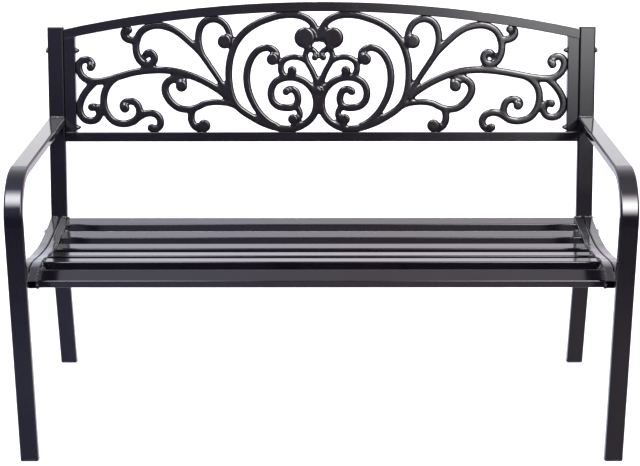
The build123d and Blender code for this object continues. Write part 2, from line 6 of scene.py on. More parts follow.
import bmesh
import bpy
import numpy as np
from mathutils import Matrix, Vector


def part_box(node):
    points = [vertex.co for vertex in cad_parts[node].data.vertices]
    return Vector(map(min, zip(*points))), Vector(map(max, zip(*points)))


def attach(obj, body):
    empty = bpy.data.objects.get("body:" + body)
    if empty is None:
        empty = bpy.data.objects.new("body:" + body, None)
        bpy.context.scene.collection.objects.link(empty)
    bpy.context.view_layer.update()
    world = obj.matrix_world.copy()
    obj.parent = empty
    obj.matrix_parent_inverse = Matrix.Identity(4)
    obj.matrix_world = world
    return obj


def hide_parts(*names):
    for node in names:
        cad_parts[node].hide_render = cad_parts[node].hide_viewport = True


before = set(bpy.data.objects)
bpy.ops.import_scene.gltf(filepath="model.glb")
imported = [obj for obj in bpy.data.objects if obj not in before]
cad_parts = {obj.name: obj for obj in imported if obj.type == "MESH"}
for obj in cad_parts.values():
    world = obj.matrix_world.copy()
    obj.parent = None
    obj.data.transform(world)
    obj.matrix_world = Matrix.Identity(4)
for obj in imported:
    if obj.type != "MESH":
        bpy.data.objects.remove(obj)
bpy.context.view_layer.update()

log = logging.getLogger("garden_bench")

ROOT = "root"
MILLIMETRE = 0.001
ACROSS = np.array([1.0, 0.0, 0.0])
UP = np.array([0.0, 0.0, 1.0])

# How far the posts lean back, and the way that what is welded to them points
RECLINE = math.radians(12.0)
INTO_POST = np.array([0.0, math.cos(RECLINE), -math.sin(RECLINE)])

# How finely lines, rounded bar ends and balls are divided
FEWEST_STEPS = 4
STEPS_BETWEEN = 16
END_RINGS = 4
TIP_SHARE = 0.94
BALL_RINGS = 17
BALL_SIDES = 32
POLE_SHARE = 0.97

# The upward part that makes a unit vector count as steep
STEEP = 0.9

Surface = tuple[np.ndarray, np.ndarray]


class Side(Enum):
    """The bench's two ends, as someone in front of it names them."""

    LEFT = -1
    RIGHT = 1

    @property
    def word(self) -> str:
        """Ending of the names of this side's pieces."""
        return self.name.lower()


def metres(millimetres: float) -> float:
    """Length in metres of one in millimetres."""
    return millimetres * MILLIMETRE


def linear(hex_colour: str) -> tuple[float, float, float, float]:
    """Turn an sRGB hex colour into a linear one.

    Args:
        hex_colour: Six hex digits, such as "1a191e".

    Returns:
        Linear red, green and blue, and an alpha of one.
    """
    shares = [int(hex_colour[i : i + 2], 16) / 255 for i in (0, 2, 4)]
    lit = [s / 12.92 if s <= 0.04045 else ((s + 0.055) / 1.055) ** 2.4 for s in shares]
    return (*lit, 1.0)


def add_node(tree: bpy.types.NodeTree, kind: str, settings: dict, links: dict) -> bpy.types.Node:
    """Add one node with its settings and what feeds it.

    Args:
        tree: The node tree that gets the node.
        kind: Blender's name of the node type, without its first word.
        settings: Attribute names of the node with their values.
        links: Input names or numbers with a value or with the output socket that feeds them.

    Returns:
        The new node.
    """
    node = tree.nodes.new("ShaderNode" + kind)
    for name, value in settings.items():
        setattr(node, name, value)
    for name, value in links.items():
        if isinstance(value, bpy.types.NodeSocket):
            tree.links.new(value, node.inputs[name])
        else:
            node.inputs[name].default_value = value
    return node


# Surfaces worked out as arrays


def grid_faces(rows: int, columns: int, ring: bool = False) -> np.ndarray:
    """Quads between neighbouring rings of a grid whose columns close on themselves.

    The corner of row i and column j is vertex i * columns + j, and the last column is followed
    by the first one. In a ring the last row is followed by the first one too.

    Args:
        rows: How many rings there are.
        columns: How many points a ring has.
        ring: Whether the rows close on themselves.

    Returns:
        Vertex numbers of the quads, four in a row.
    """
    i, j = np.meshgrid(np.arange(rows if ring else rows - 1), np.arange(columns), indexing="ij")
    ahead, beside = (i + 1) % rows, (j + 1) % columns
    quads = [i * columns + j, ahead * columns + j, ahead * columns + beside, i * columns + beside]
    return np.stack(quads, axis=-1).reshape(-1, 4)


def evenly_spaced(line: np.ndarray, spacing: float) -> np.ndarray:
    """Points at even distances along a polyline, its two ends among them.

    Args:
        line: Corners of the polyline, one in a row.
        spacing: Distance between the points, rounded so that they come out even.

    Returns:
        The points, one in a row.
    """
    reach = np.concatenate([[0], np.cumsum(np.linalg.norm(np.diff(line, axis=0), axis=1))])
    count = max(int(reach[-1] / spacing), FEWEST_STEPS)
    even = np.linspace(0, reach[-1], count + 1)
    return np.stack([np.interp(even, reach, column) for column in line.T], axis=1)


def smooth_line(points: np.ndarray, spacing: float) -> np.ndarray:
    """Evenly spaced points on a smooth line through a few given ones.

    At each given point the velocity is that of the parabola through it and its two neighbours,
    timed by their distances. Between two points the line is the cubic with those velocities.

    Args:
        points: The given points, one in a row.
        spacing: Distance between the points of the result.

    Returns:
        The points of the line, the given ends among them.
    """
    steps = np.diff(points, axis=0)
    times = np.linalg.norm(steps, axis=1)[:, None]
    rates = steps / times
    middle = (rates[:-1] * times[1:] + rates[1:] * times[:-1]) / (times[:-1] + times[1:])
    ends = 2 * rates[[0, -1]] - middle[[0, -1]]
    speed = np.vstack([ends[:1], middle, ends[1:]])
    t = np.linspace(0, 1, STEPS_BETWEEN + 1)[None, :-1, None]
    start, finish = points[:-1, None], points[1:, None]
    leave, arrive = speed[:-1, None] * times[:, None], speed[1:, None] * times[:, None]
    line = (
        start * (2 * t**3 - 3 * t**2 + 1)
        + finish * (3 * t**2 - 2 * t**3)
        + leave * (t**3 - 2 * t**2 + t)
        + arrive * (t**3 - t**2)
    )
    return evenly_spaced(np.vstack([line.reshape(-1, points.shape[1]), points[-1:]]), spacing)


def squared(share: np.ndarray, flatness: float) -> np.ndarray:
    """Raise the size of a sine or cosine to 2 / flatness, and keep its sign.

    Two leaves it as it is, and a larger flatness turns the circle towards a rounded square.

    Args:
        share: Sines or cosines.
        flatness: Two or more.

    Returns:
        The squared-off sines or cosines.
    """
    return np.sign(share) * np.abs(share) ** (2 / flatness)


def bar_along(
    line: np.ndarray,
    out: np.ndarray,
    half_widths: np.ndarray,
    half_depths: np.ndarray,
    sides: int,
    ring: bool = False,
    flatness: float = 2.0,
) -> Surface:
    """Bar with an oval section along a line that lies in a plane.

    Each section is the oval (w cos a, d sin a), its sine and cosine squared off by the flatness,
    with w across the bar in the plane and d out of the plane. Past each open end, sections at
    angles b shrink by cos b and step out by w sin b, up to the tip.

    Args:
        line: Points of the middle line.
        out: Unit vector out of the plane.
        half_widths: Half the bar's width at each point.
        half_depths: Half the bar's depth at each point.
        sides: How many points a section has.
        ring: Whether the line closes on itself. Its last point then isn't its first one.
        flatness: Two for an oval, more for flatter faces and tighter edges.

    Returns:
        Vertices and quads.
    """
    heading = np.roll(line, -1, 0) - np.roll(line, 1, 0) if ring else np.gradient(line, axis=0)
    heading /= np.linalg.norm(heading, axis=1, keepdims=True)
    wide, deep = half_widths[:, None], half_depths[:, None]
    if not ring:
        dome = np.linspace(math.pi / 2 * TIP_SHARE, 0, END_RINGS + 1)[:-1, None]
        shrink = np.vstack([np.cos(dome), np.ones((len(line), 1)), np.cos(dome[::-1])])
        before = line[0] - np.sin(dome) * heading[0] * wide[0]
        after = line[-1] + np.sin(dome[::-1]) * heading[-1] * wide[-1]
        line = np.vstack([before, line, after])
        ends = ((END_RINGS, END_RINGS), (0, 0))
        heading, wide, deep = (np.pad(part, ends, "edge") for part in (heading, wide, deep))
        wide, deep = wide * shrink, deep * shrink
    aside = np.cross(out, heading)
    angle = np.linspace(0, 2 * math.pi, sides, endpoint=False)[None, :, None]
    rings = (
        line[:, None]
        + (aside * wide)[:, None] * squared(np.cos(angle), flatness)
        + (out * deep)[:, None] * squared(np.sin(angle), flatness)
    )
    return rings.reshape(-1, 3), grid_faces(len(line), sides, ring)


def flat_ball(centre: np.ndarray, radius: float, half_depth: float, flatness: float) -> Surface:
    """Ball flattened along the third axis.

    A ring at latitude b has the radius times cos b in the plane and lies at the half depth
    times sin b out of it, both squared off by the flatness.

    Args:
        centre: Middle of the ball.
        radius: Radius in the plane.
        half_depth: Half the height out of the plane.
        flatness: Two for a round profile, more for a flatter face.

    Returns:
        Vertices and quads.
    """
    pole = math.pi / 2 * POLE_SHARE
    latitude = np.linspace(-pole, pole, BALL_RINGS)[:, None]
    angle = np.linspace(0, 2 * math.pi, BALL_SIDES, endpoint=False)[None, :]
    reach = radius * squared(np.cos(latitude), flatness)
    across, up = reach * np.cos(angle), reach * np.sin(angle)
    out = half_depth * squared(np.sin(latitude), flatness) + 0 * angle
    return centre + np.dstack([across, up, out]).reshape(-1, 3), grid_faces(BALL_RINGS, BALL_SIDES)


def joined(parts: list[Surface]) -> Surface:
    """Several surfaces as one, with the quads renumbered."""
    starts = np.cumsum([0] + [len(v) for v, _ in parts[:-1]])
    return np.vstack([v for v, _ in parts]), np.vstack([f + s for (_, f), s in zip(parts, starts)])


def new_piece(name: str, surface: Surface) -> bpy.types.Object:
    """Make an object at the origin from a surface, with open ends closed and faces outwards.

    Args:
        name: Name of the piece.
        surface: Vertices in the bench's frame, in metres, and quads.

    Returns:
        The new object, in the scene.
    """
    vertices, quads = surface
    mesh = bpy.data.meshes.new(name)
    mesh.from_pydata(vertices.tolist(), [], quads.tolist())
    shape = bmesh.new()
    shape.from_mesh(mesh)
    bmesh.ops.holes_fill(shape, edges=[e for e in shape.edges if e.is_boundary])
    bmesh.ops.recalc_face_normals(shape, faces=shape.faces)
    shape.to_mesh(mesh)
    shape.free()
    mesh.shade_smooth()
    piece = bpy.data.objects.new(name, mesh)
    bpy.context.scene.collection.objects.link(piece)
    return piece


# Weld beads


@dataclass(frozen=True)
class Weld:
    """How a bead was laid: its size and the ripples that the torch left.

    The shares are of the half width, and the slow ripples are the lengths of two slower waves,
    in ripples. The bands say how near to the end of a tube, or to its upper or lower face, a
    corner counts as on it.
    """

    half_width: float
    ripple: float = metres(3.4)
    slow_ripples: tuple[float, float] = (3.1, 5.3)
    ripple_share: float = 0.12
    wander_share: float = 0.16
    point_spacing: float = metres(0.85)
    sides: int = 12
    looks: int = 96
    end_band: float = metres(0.25)
    face_band: float = metres(1.8)
    depth_share: float = 1.0

    def end_outline(self, node: str, way: np.ndarray) -> np.ndarray:
        """Outline of the end of a tube: its outermost corners all round, seen along the tube.

        The end is what reaches furthest along the way. In each of many directions in its plane,
        the corner that reaches furthest is on the outline.

        Args:
            node: Name of the tube's node.
            way: Unit vector out of the end.

        Returns:
            Corners of the outline, in order.
        """
        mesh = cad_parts[node].data
        places = np.empty(len(mesh.vertices) * 3)
        mesh.vertices.foreach_get("co", places)
        places = places.reshape(-1, 3)
        reach = places @ way
        end = places[reach > reach.max() - self.end_band]
        first = np.cross(way, UP if abs(way[2]) < STEEP else ACROSS)
        first /= np.linalg.norm(first)
        turn = np.linspace(0, 2 * math.pi, self.looks, endpoint=False)[:, None]
        looks = np.cos(turn) * first + np.sin(turn) * np.cross(way, first)
        chosen = np.argmax(end @ looks.T, axis=0)
        return end[chosen[chosen != np.roll(chosen, 1)]]

    def bead(self, line: np.ndarray, out: np.ndarray, ring: bool, seed: float) -> Surface:
        """Lay one bead along a line.

        At the distance s along, its half width is w (1 + r sin(2 pi s / ripple + seed) + m v),
        with the ripple share r, the wander share m, and v the mean of two slower sine waves.

        Args:
            line: Corners of the line.
            out: Unit vector out of the plane that the line lies in.
            ring: Whether the bead goes all round.
            seed: Number that sets this bead's waves.

        Returns:
            Vertices and quads.
        """
        if ring:
            line = np.vstack([line, line[:1]])
        line = evenly_spaced(line, self.point_spacing)
        if ring:
            line = line[:-1]
        along = np.arange(len(line)) * self.point_spacing
        turns = 2 * math.pi * along / self.ripple
        slow, slower = self.slow_ripples
        waves = np.sin(turns / slow + seed) + np.sin(turns / slower + 2.3 * seed)
        size = 1 + self.ripple_share * np.sin(turns + seed) + self.wander_share * waves / 2
        half = self.half_width * size
        return bar_along(line, out, half, half * self.depth_share, self.sides, ring)

    def round_end(self, node: str, way: np.ndarray, seed: float) -> Surface:
        """Bead all round the end of a tube."""
        return self.bead(self.end_outline(node, way), way, True, seed)

    def across_end(self, node: str, way: np.ndarray, seed: float) -> Surface:
        """Two beads across the end of a tube, over its top face and under its bottom face.

        Their rounded ends are flush with the sides of the tube.

        Args:
            node: Name of the tube's node.
            way: Unit vector out of the end.
            seed: Number that sets the beads' waves.

        Returns:
            Vertices and quads.
        """
        outline = self.end_outline(node, way)
        height = outline @ np.cross(way, ACROSS)
        beads = []
        for shift, edge in enumerate((height.min(), height.max())):
            face = outline[np.abs(height - edge) < self.face_band]
            line = face[[np.argmin(face[:, 0]), np.argmax(face[:, 0])]]
            line = line + np.outer((1.0, -1.0), ACROSS * self.half_width)
            beads.append(self.bead(line, way, False, seed + shift))
        return joined(beads)


# Finishes


@dataclass(frozen=True)
class PowderCoat:
    """Gloss black polyester powder baked on welded steel tube.

    The eye sees a deep black with sharp reflections, broken by a slight orange peel.
    """

    name: str = "gloss_black_powder_coat_on_steel"
    colour: str = "070509"
    rubbed_colour: str = "0a080d"
    roughness: float = 0.1
    peel_spacing: float = metres(5.0)
    peel_height: float = metres(0.02)
    cloud_spacing: float = metres(110.0)
    cloud_edges: tuple[float, float] = (0.35, 0.65)
    gloss_shares: tuple[float, float] = (0.85, 1.25)
    refraction: float = 1.5

    def make(self) -> bpy.types.Material:
        """Build the material: faint clouds in colour and gloss, and a shallow orange peel.

        Returns:
            The new material.
        """
        material = bpy.data.materials.new(self.name)
        material.use_nodes = True
        tree = material.node_tree
        tree.nodes.clear()
        place = add_node(tree, "TexCoord", {}, {}).outputs["Object"]
        peel = add_node(
            tree, "TexNoise", {}, {"Vector": place, "Scale": 1 / self.peel_spacing, "Detail": 1.0}
        )
        cloud = add_node(
            tree, "TexNoise", {}, {"Vector": place, "Scale": 1 / self.cloud_spacing, "Detail": 4.0}
        )
        thin, thick = self.cloud_edges
        share = add_node(tree, "MapRange", {}, {0: cloud.outputs[0], 1: thin, 2: thick})
        tone = add_node(
            tree,
            "Mix",
            {"data_type": "RGBA"},
            {0: share.outputs[0], 6: linear(self.colour), 7: linear(self.rubbed_colour)},
        )
        smoother, rougher = (self.roughness * part for part in self.gloss_shares)
        gloss = add_node(tree, "MapRange", {}, {0: share.outputs[0], 3: smoother, 4: rougher})
        bump = add_node(
            tree, "Bump", {}, {"Strength": 1.0, "Distance": self.peel_height, "Height": peel.outputs[0]}
        )
        shader = add_node(
            tree,
            "BsdfPrincipled",
            {},
            {
                "Base Color": tone.outputs[2],
                "Roughness": gloss.outputs[0],
                "IOR": self.refraction,
                "Normal": bump.outputs[0],
            },
        )
        add_node(tree, "OutputMaterial", {}, {"Surface": shader.outputs[0]})
        return material


@dataclass(frozen=True)
class CoatOverGroundWelds(PowderCoat):
    """The same coat on the rails that the slats are welded to.

    The welds there were ground by hand, so the eye sees wavier reflections than on the slats.
    """

    name: str = "gloss_black_powder_coat_over_ground_welds"
    peel_spacing: float = metres(13.0)
    peel_height: float = metres(0.3)


@dataclass(frozen=True)
class CastEnamel(PowderCoat):
    """Gloss black enamel on sand-cast grey iron.

    The sand's grain shows through the paint as soft lumps, so the highlights waver.
    """

    name: str = "gloss_black_enamel_on_cast_iron"
    colour: str = "0a080b"
    rubbed_colour: str = "120f12"
    roughness: float = 0.06
    peel_spacing: float = metres(5.0)
    peel_height: float = metres(0.05)
    cloud_spacing: float = metres(45.0)


@dataclass(frozen=True)
class MouldedPlastic(PowderCoat):
    """Black polyethylene from a spark-eroded mould: satin, with a fine even grain."""

    name: str = "black_moulded_polyethylene"
    colour: str = "0f0e11"
    rubbed_colour: str = "141316"
    roughness: float = 0.42
    peel_spacing: float = metres(1.0)
    peel_height: float = metres(0.05)


@dataclass(frozen=True)
class BlackedSteel(PowderCoat):
    """Black zinc-plated steel of the bolts: duller than the paint, with rolled-in grain."""

    name: str = "black_zinc_plated_steel"
    colour: str = "050506"
    rubbed_colour: str = "0a090b"
    roughness: float = 0.34
    peel_spacing: float = metres(0.8)
    peel_height: float = metres(0.02)
    cloud_spacing: float = metres(9.0)


# The bench's sub-assemblies


def finished(piece: bpy.types.Object, finish: bpy.types.Material, slot: str) -> bpy.types.Object:
    """Dress a new piece, fix it to the bench and log it with a slot name.

    Args:
        piece: The new piece.
        finish: Its material.
        slot: Slot name that the log line shows.

    Returns:
        The same piece.
    """
    piece.data.materials.clear()
    piece.data.materials.append(finish)
    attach(piece, ROOT)
    log.info("%s: %d faces, %s", piece.name, len(piece.data.polygons), slot)
    return piece


def dress_nodes(names: list[str], finish: bpy.types.Material) -> None:
    """Give CAD nodes one finish.

    Args:
        names: Names of the nodes.
        finish: Their material.
    """
    for name in names:
        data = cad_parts[name].data
        data.materials.clear()
        data.materials.append(finish)
        log.info("%s: %s", name, finish.name)


@dataclass
class SideFrame:
    """One welded end of the bench: leg and arm, post, seat rail and plugs."""

    side: Side
    arm_weld: Weld = Weld(metres(4.6), ripple_share=0.05, wander_share=0.12, depth_share=0.4)
    rail_weld: Weld = Weld(metres(4.4), wander_share=0.3, depth_share=0.45)

    def named(self, *stems: str) -> list[str]:
        """Names of this side's nodes."""
        return [f"{stem}_{self.side.word}" for stem in stems]

    def dress(self, coat: bpy.types.Material, plastic: bpy.types.Material) -> None:
        """Finish the tubes and the plugs.

        Args:
            coat: Material of the tubes.
            plastic: Material of the plugs.
        """
        dress_nodes(self.named("arm_front_leg", "rear_post", "side_seat_rail"), coat)
        dress_nodes(self.named("front_foot_cap", "rear_foot_cap", "post_top_cap"), plastic)

    def make_welds(self, coat: bpy.types.Material) -> bpy.types.Object:
        """Lay the beads where the arm and the seat rail meet the leg and the post.

        Args:
            coat: Material of the beads.

        Returns:
            The finished piece.
        """
        arm, rail = self.named("arm_front_leg", "side_seat_rail")
        beads = [
            self.arm_weld.across_end(arm, INTO_POST, 0.7 * self.side.value),
            self.rail_weld.across_end(rail, INTO_POST, 1.9 * self.side.value),
            self.rail_weld.across_end(rail, np.array([0.0, -1.0, 0.0]), 3.1 * self.side.value),
        ]
        piece = new_piece(f"side_frame_welds_{self.side.word}", joined(beads))
        return finished(piece, coat, "frame_steel")


@dataclass
class SeatFrame:
    """The slats and the rails that carry their ends."""

    slat_count: int = 6
    slat_weld: Weld = Weld(metres(3.2), ripple_share=0.04, wander_share=0.3)
    rail_weld: Weld = Weld(metres(4.4), wander_share=0.3, depth_share=0.45)

    def dress(self, coat: bpy.types.Material, plastic: bpy.types.Material) -> None:
        """Finish the tubes and the rings between the rails.

        Args:
            coat: Material of the slats.
            plastic: Material of the rings.
        """
        slats = [f"seat_slat_{number}" for number in range(1, self.slat_count + 1)]
        rails = [f"seat_end_rail_{side.word}" for side in Side]
        dress_nodes(slats, coat)
        dress_nodes(rails, CoatOverGroundWelds().make())
        dress_nodes(["seat_spacers"], plastic)

    def make_welds(self, coat: bpy.types.Material) -> bpy.types.Object:
        """Lay the beads at the slats' ends and where the end rails meet the posts.

        Args:
            coat: Material of the beads.

        Returns:
            The finished piece.
        """
        beads = []
        for side in Side:
            for number in range(1, self.slat_count + 1):
                way, seed = side.value * ACROSS, number * 1.7 + side.value
                beads.append(self.slat_weld.round_end(f"seat_slat_{number}", way, seed))
            rail = f"seat_end_rail_{side.word}"
            beads.append(self.rail_weld.across_end(rail, INTO_POST, 2.2 * side.value))
        return finished(new_piece("seat_welds", joined(beads)), coat, "seat_steel")


# The cast insert


@dataclass(frozen=True)
class Bar:
    """One scroll bar of a half: places as shares of the opening, and widths in millimetres."""

    shares: tuple
    widths: tuple = (14.5, 14.5, 14.5)


SCROLL_BARS = (
    # side curl, then the long stem that runs in towards the middle
    Bar(
        (
            (0.940, 0.535), (0.933, 0.565), (0.942, 0.594), (0.961, 0.604), (0.979, 0.590),
            (0.988, 0.555), (0.986, 0.510), (0.974, 0.465), (0.951, 0.432), (0.915, 0.422),
            (0.870, 0.436), (0.820, 0.466), (0.760, 0.499), (0.700, 0.514), (0.645, 0.517),
            (0.590, 0.506), (0.540, 0.479), (0.490, 0.439), (0.440, 0.386), (0.395, 0.325),
            (0.370, 0.280),
        ),
    ),
    # round spiral under the stem
    Bar(
        (
            (0.840, 0.449), (0.864, 0.407), (0.881, 0.350), (0.889, 0.280), (0.886, 0.205),
            (0.872, 0.140), (0.850, 0.092), (0.820, 0.070), (0.787, 0.074), (0.760, 0.100),
            (0.745, 0.148), (0.745, 0.200), (0.758, 0.243), (0.780, 0.259), (0.800, 0.250),
            (0.811, 0.222), (0.806, 0.192),
        ),
    ),
    # hook from the spiral to the bottom rail
    Bar(
        (
            (0.790, 0.075), (0.765, 0.095), (0.742, 0.130), (0.716, 0.155), (0.690, 0.157),
            (0.668, 0.135), (0.658, 0.095), (0.661, 0.052), (0.677, 0.026), (0.697, 0.032),
        ),
    ),
    # lower side curl
    Bar(
        (
            (0.925, 0.415), (0.945, 0.375), (0.965, 0.325), (0.981, 0.265), (0.988, 0.200),
            (0.981, 0.140), (0.963, 0.102), (0.941, 0.093), (0.920, 0.106), (0.908, 0.142),
            (0.909, 0.182), (0.921, 0.208), (0.939, 0.210),
        ),
    ),
    # tall hook on the stem, over the top and down to the fan's root
    Bar(
        (
            (0.713, 0.645), (0.700, 0.662), (0.686, 0.650), (0.679, 0.615), (0.686, 0.580),
            (0.704, 0.563), (0.725, 0.572), (0.742, 0.607), (0.752, 0.660), (0.754, 0.720),
            (0.747, 0.785), (0.730, 0.838), (0.705, 0.870), (0.672, 0.886), (0.638, 0.881),
            (0.605, 0.862), (0.572, 0.823), (0.540, 0.767), (0.512, 0.713), (0.483, 0.650),
            (0.449, 0.552), (0.415, 0.452), (0.388, 0.365), (0.372, 0.310),
        ),
        (15.0, 14.5, 10.5),
    ),
    # leaf loop that ends in a ball
    Bar(
        (
            (0.470, 0.610), (0.486, 0.680), (0.494, 0.750), (0.493, 0.820), (0.482, 0.885),
            (0.460, 0.925), (0.432, 0.938), (0.404, 0.924), (0.382, 0.887), (0.368, 0.832),
            (0.363, 0.775),
        ),
        (12.0, 15.0, 13.0),
    ),
    # great scroll from the centre ball round to the inner spiral
    Bar(
        (
            (0.011, 0.775), (0.012, 0.830), (0.020, 0.880), (0.037, 0.924), (0.062, 0.954),
            (0.095, 0.971), (0.130, 0.973), (0.165, 0.964), (0.203, 0.942), (0.249, 0.905),
            (0.290, 0.853), (0.321, 0.793), (0.343, 0.727), (0.358, 0.650), (0.367, 0.570),
            (0.370, 0.480), (0.367, 0.390), (0.359, 0.310), (0.346, 0.247), (0.328, 0.200),
            (0.303, 0.160), (0.273, 0.122), (0.243, 0.087), (0.213, 0.062), (0.180, 0.040),
            (0.146, 0.026), (0.113, 0.026), (0.085, 0.040), (0.058, 0.068), (0.036, 0.105),
            (0.019, 0.155), (0.0115, 0.215), (0.012, 0.280), (0.024, 0.345), (0.046, 0.400),
            (0.078, 0.440), (0.115, 0.456), (0.150, 0.447), (0.179, 0.415), (0.194, 0.365),
            (0.197, 0.310), (0.189, 0.255), (0.169, 0.217), (0.142, 0.203), (0.114, 0.204),
            (0.095, 0.220), (0.087, 0.255), (0.088, 0.305), (0.097, 0.342), (0.113, 0.356),
            (0.128, 0.350), (0.136, 0.334),
        ),
    ),
    # inner crescent
    Bar(
        (
            (0.176, 0.610), (0.174, 0.655), (0.191, 0.690), (0.219, 0.700), (0.245, 0.683),
            (0.267, 0.642), (0.283, 0.587), (0.293, 0.520), (0.296, 0.450), (0.293, 0.380),
            (0.284, 0.310), (0.270, 0.245), (0.251, 0.180), (0.229, 0.128), (0.204, 0.085),
            (0.175, 0.055),
        ),
        (14.0, 15.0, 12.0),
    ),
    # low wave from the fan's root out to a curl under the stem
    Bar(
        (
            (0.344, 0.215), (0.372, 0.238), (0.405, 0.247), (0.440, 0.248), (0.472, 0.236),
            (0.497, 0.212), (0.523, 0.193), (0.550, 0.189), (0.578, 0.204), (0.602, 0.240),
            (0.621, 0.288), (0.631, 0.340), (0.629, 0.390), (0.613, 0.427), (0.589, 0.443),
            (0.568, 0.435), (0.557, 0.412), (0.560, 0.388),
        ),
        (10.5, 14.5, 17.0),
    ),
    # foot that drops from the wave to the bottom rail
    Bar(
        (
            (0.517, 0.197), (0.526, 0.145), (0.525, 0.095), (0.514, 0.052), (0.495, 0.027),
        ),
    ),
    # small curl under the top rail
    Bar(
        (
            (0.748, 0.768), (0.775, 0.765), (0.796, 0.785), (0.804, 0.815), (0.801, 0.845),
            (0.787, 0.858),
        ),
        (15.0, 15.0, 10.0),
    ),
    # small curl inside the bottom of the great scroll
    Bar(
        (
            (0.093, 0.215), (0.083, 0.185), (0.078, 0.150), (0.083, 0.115), (0.095, 0.098),
        ),
        (12.0, 12.0, 12.0),
    ),
    # inner horn that rises from the middle
    Bar(
        (
            (0.002, 0.365), (0.010, 0.420), (0.021, 0.480), (0.036, 0.540), (0.054, 0.592),
            (0.080, 0.617), (0.108, 0.623), (0.133, 0.611), (0.150, 0.582), (0.156, 0.545),
            (0.155, 0.510), (0.148, 0.478),
        ),
        (13.0, 10.5, 13.0),
    ),
    # half of the small heart
    Bar(
        (
            (0.042, 0.558), (0.051, 0.602), (0.055, 0.642), (0.050, 0.673), (0.036, 0.687),
            (0.021, 0.677), (0.013, 0.652), (0.016, 0.622),
        ),
        (11.0, 11.0, 11.0),
    ),
)

# Balls of a half: across and up as shares of the opening, and radius in millimetres
BALLS = (
    # at the scrolls' tips and joints, as large as in the drawing
    (0.058, 0.783, 24.0),
    (0.386, 0.752, 16.0),
    (0.474, 0.052, 14.5),
    (0.190, 0.605, 13.5),
    (0.564, 0.383, 13.0),
    (0.107, 0.107, 11.5),
    (0.110, 0.511, 10.5),
    (0.802, 0.198, 10.0),
    (0.045, 0.703, 8.0),
    (0.017, 0.620, 7.0),
    # swellings where the metal pooled at the ends of the curls
    (0.940, 0.540, 9.0),
    (0.695, 0.035, 9.0),
    (0.937, 0.208, 9.0),
    (0.134, 0.338, 8.5),
    (0.783, 0.848, 8.5),
    # metal that fills the notch where the halves meet
    (0.000, 0.345, 6.0),
)

# How far the two halves of the pattern were set off their drawing, as shares of the opening
# across and up, at stations across it
DRIFT_STATIONS = (0.0, 0.35, 0.50, 0.60, 0.63, 0.66, 0.75, 0.81, 0.88, 1.0)
LEFT_DRIFT = (
    (0.010, 0), (0.008, 0), (0.005, 0), (0.007, 0), (0.006, 0), (0, 0), (0, 0), (0, 0), (0, 0), (0, 0),
)
RIGHT_LOW_DRIFT = (
    (-0.010, 0), (-0.013, 0), (-0.017, 0), (-0.020, 0), (-0.020, 0),
    (0, 0), (0, 0.006), (0, 0.024), (0, 0.027), (0, 0.030),
)
RIGHT_HIGH_DRIFT = (
    (-0.010, 0), (-0.013, 0), (-0.018, 0), (-0.018, 0), (-0.018, 0),
    (-0.019, 0), (-0.021, 0), (-0.016, 0.005), (0, 0.014), (0, 0.028),
)

# Heights between which the right half goes over from its low drift to its high one
DRIFT_BLEND = (0.20, 0.50)


def drift_at(table: tuple, across: np.ndarray) -> np.ndarray:
    """Drift across and up at places across the opening, read between the stations.

    Args:
        table: Drift at each station.
        across: The places, as shares of the opening.

    Returns:
        The two drifts, one pair in a row.
    """
    return np.stack([np.interp(across, DRIFT_STATIONS, column) for column in zip(*table)], axis=1)


